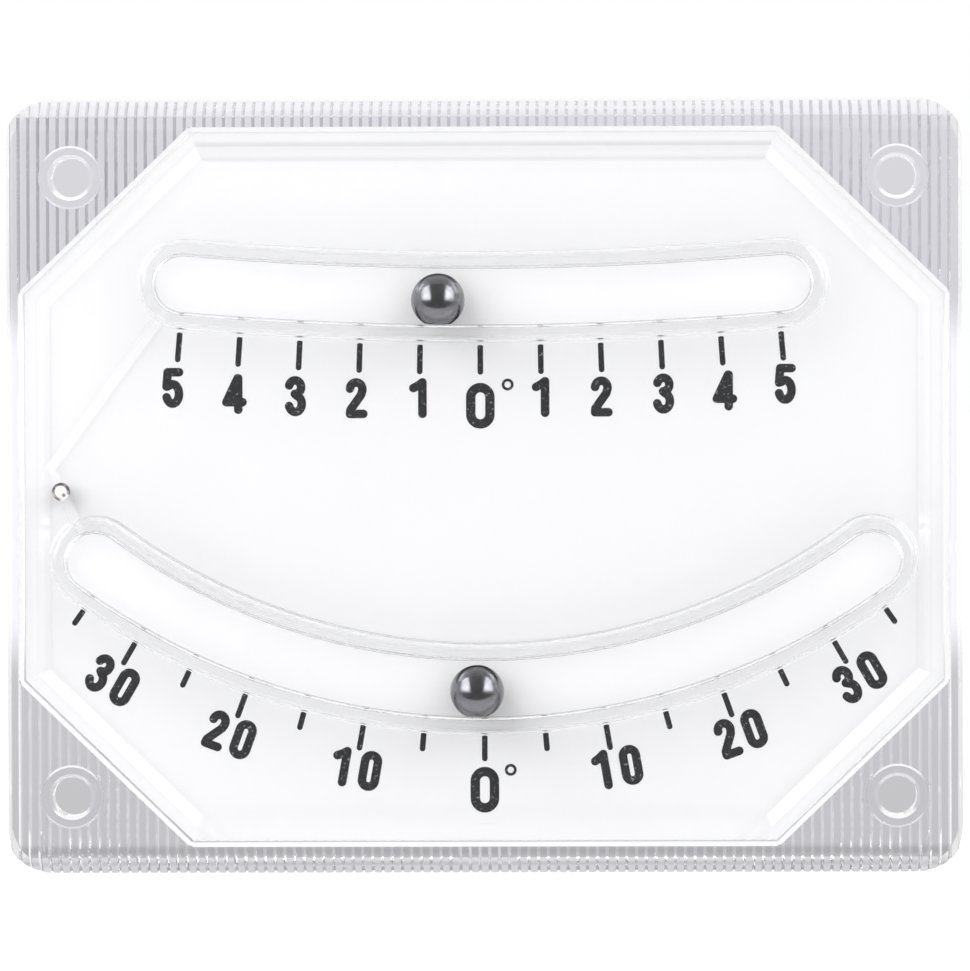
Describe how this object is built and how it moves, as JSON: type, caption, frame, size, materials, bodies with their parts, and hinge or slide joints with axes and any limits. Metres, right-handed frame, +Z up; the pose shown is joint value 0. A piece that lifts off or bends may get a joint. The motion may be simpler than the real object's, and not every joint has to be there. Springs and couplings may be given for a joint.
{
  "type": "ball inclinometer",
  "caption": "Bulkhead inclinometer: steel balls roll along curved clear channels over a white dial and show small and large tilt angles to either side.",
  "frame": {"origin": "centre of the flat back that lies against the bulkhead", "axes": "+Z up the bulkhead, +X to the reader's right, -Y out of the bulkhead towards the reader"},
  "size_m": [0.098, 0.0094, 0.0794],
  "materials": {
    "clear_plastic": "clear, polished",
    "dial_white": "smooth white",
    "scale_print": "matt black print",
    "ball_steel": "dark, polished",
    "plug_plastic": "satin"
  },
  "bodies": {
    "housing": {"clear_cover": "clear_plastic", "dial_plate": "dial_white", "upper_scale": "scale_print", "lower_scale": "scale_print", "fill_plug": "plug_plastic"},
    "upper_ball": {"upper_ball": "ball_steel"},
    "lower_ball": {"lower_ball": "ball_steel"}
  },
  "joints": [
    {"name": "upper_roll", "type": "hinge", "parent": "housing", "child": "upper_ball", "pos_m": [0, -0.005, 0.3669], "axis": [0, -1, 0], "range_deg": [-4.27, 5.79]},
    {"name": "lower_roll", "type": "hinge", "parent": "housing", "child": "lower_ball", "pos_m": [0, -0.005, 0.046], "axis": [0, -1, 0], "range_deg": [-35.88, 37.12]}
  ]
}
